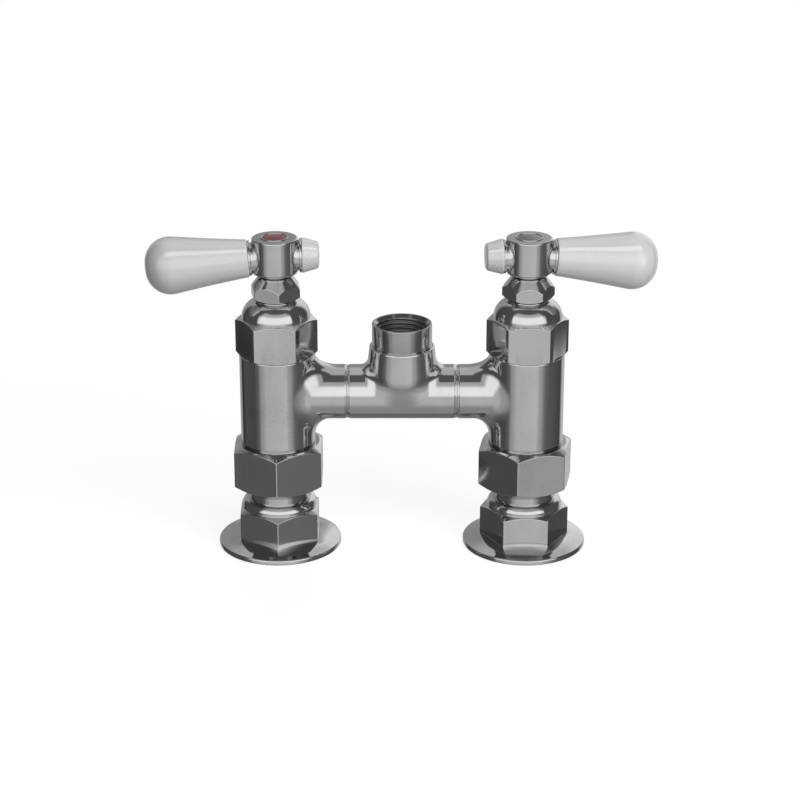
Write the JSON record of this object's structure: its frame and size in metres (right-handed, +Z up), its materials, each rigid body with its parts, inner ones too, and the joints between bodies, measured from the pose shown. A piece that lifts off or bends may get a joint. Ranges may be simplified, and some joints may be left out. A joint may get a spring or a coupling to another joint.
{
  "type": "bridge faucet",
  "caption": "Deck-mounted bridge faucet: valve columns on round flanges, joined by a bridge with an open threaded spout outlet, with quarter-turn lever handles.",
  "frame": {"origin": "on the deck, midway between the two flanges", "axes": "+X from the hot column to the cold column, +Z up, the user stands at -Y"},
  "size_m": [0.2051, 0.0508, 0.1332],
  "materials": {
    "polished_chrome": "polished",
    "porcelain": "glazed",
    "brass": "turned",
    "steel": "turned",
    "white_ceramic": "ground",
    "grey_ceramic": "ground",
    "rubber": "moulded",
    "fibre": "pressed fibre",
    "hot_enamel": "enamel",
    "cold_enamel": "enamel"
  },
  "bodies": {
    "faucet_body": {"body_casting": "polished_chrome", "hot_deck_gasket": "rubber", "cold_deck_gasket": "rubber", "hot_flanged_inlet": "polished_chrome", "cold_flanged_inlet": "polished_chrome", "hot_union_tail": "polished_chrome", "cold_union_tail": "polished_chrome", "hot_coupling_nut": "polished_chrome", "cold_coupling_nut": "polished_chrome", "hot_coupling_washer": "fibre", "cold_coupling_washer": "fibre", "hot_seat_seal": "rubber", "cold_seat_seal": "rubber", "hot_cartridge_body": "brass", "cold_cartridge_body": "brass", "hot_fixed_disc": "white_ceramic", "cold_fixed_disc": "white_ceramic", "hot_bonnet_gasket": "fibre", "cold_bonnet_gasket": "fibre", "hot_bonnet": "polished_chrome", "cold_bonnet": "polished_chrome", "hot_packing": "rubber", "cold_packing": "rubber", "hot_packing_nut": "polished_chrome", "cold_packing_nut": "polished_chrome"},
    "hot_handle": {"hot_moving_disc": "grey_ceramic", "hot_stem": "brass", "hot_stem_o_ring": "rubber", "hot_handle_hub": "polished_chrome", "hot_lever_stud": "brass", "hot_lever_grip": "porcelain", "hot_stub_stud": "brass", "hot_lever_stub": "porcelain", "hot_handle_screw": "steel", "hot_index_button": "hot_enamel"},
    "cold_handle": {"cold_moving_disc": "grey_ceramic", "cold_stem": "brass", "cold_stem_o_ring": "rubber", "cold_handle_hub": "polished_chrome", "cold_lever_stud": "brass", "cold_lever_grip": "porcelain", "cold_stub_stud": "brass", "cold_lever_stub": "porcelain", "cold_handle_screw": "steel", "cold_index_button": "cold_enamel"}
  },
  "joints": [
    {"name": "hot_handle_turn", "type": "hinge", "parent": "faucet_body", "child": "hot_handle", "pos_m": [-0.0508, 0, 0.1247], "axis": [0, 0, 1], "range_deg": [0, 90]},
    {"name": "cold_handle_turn", "type": "hinge", "parent": "faucet_body", "child": "cold_handle", "pos_m": [0.0508, 0, 0.1247], "axis": [0, 0, 1], "range_deg": [-90, 0]}
  ]
}
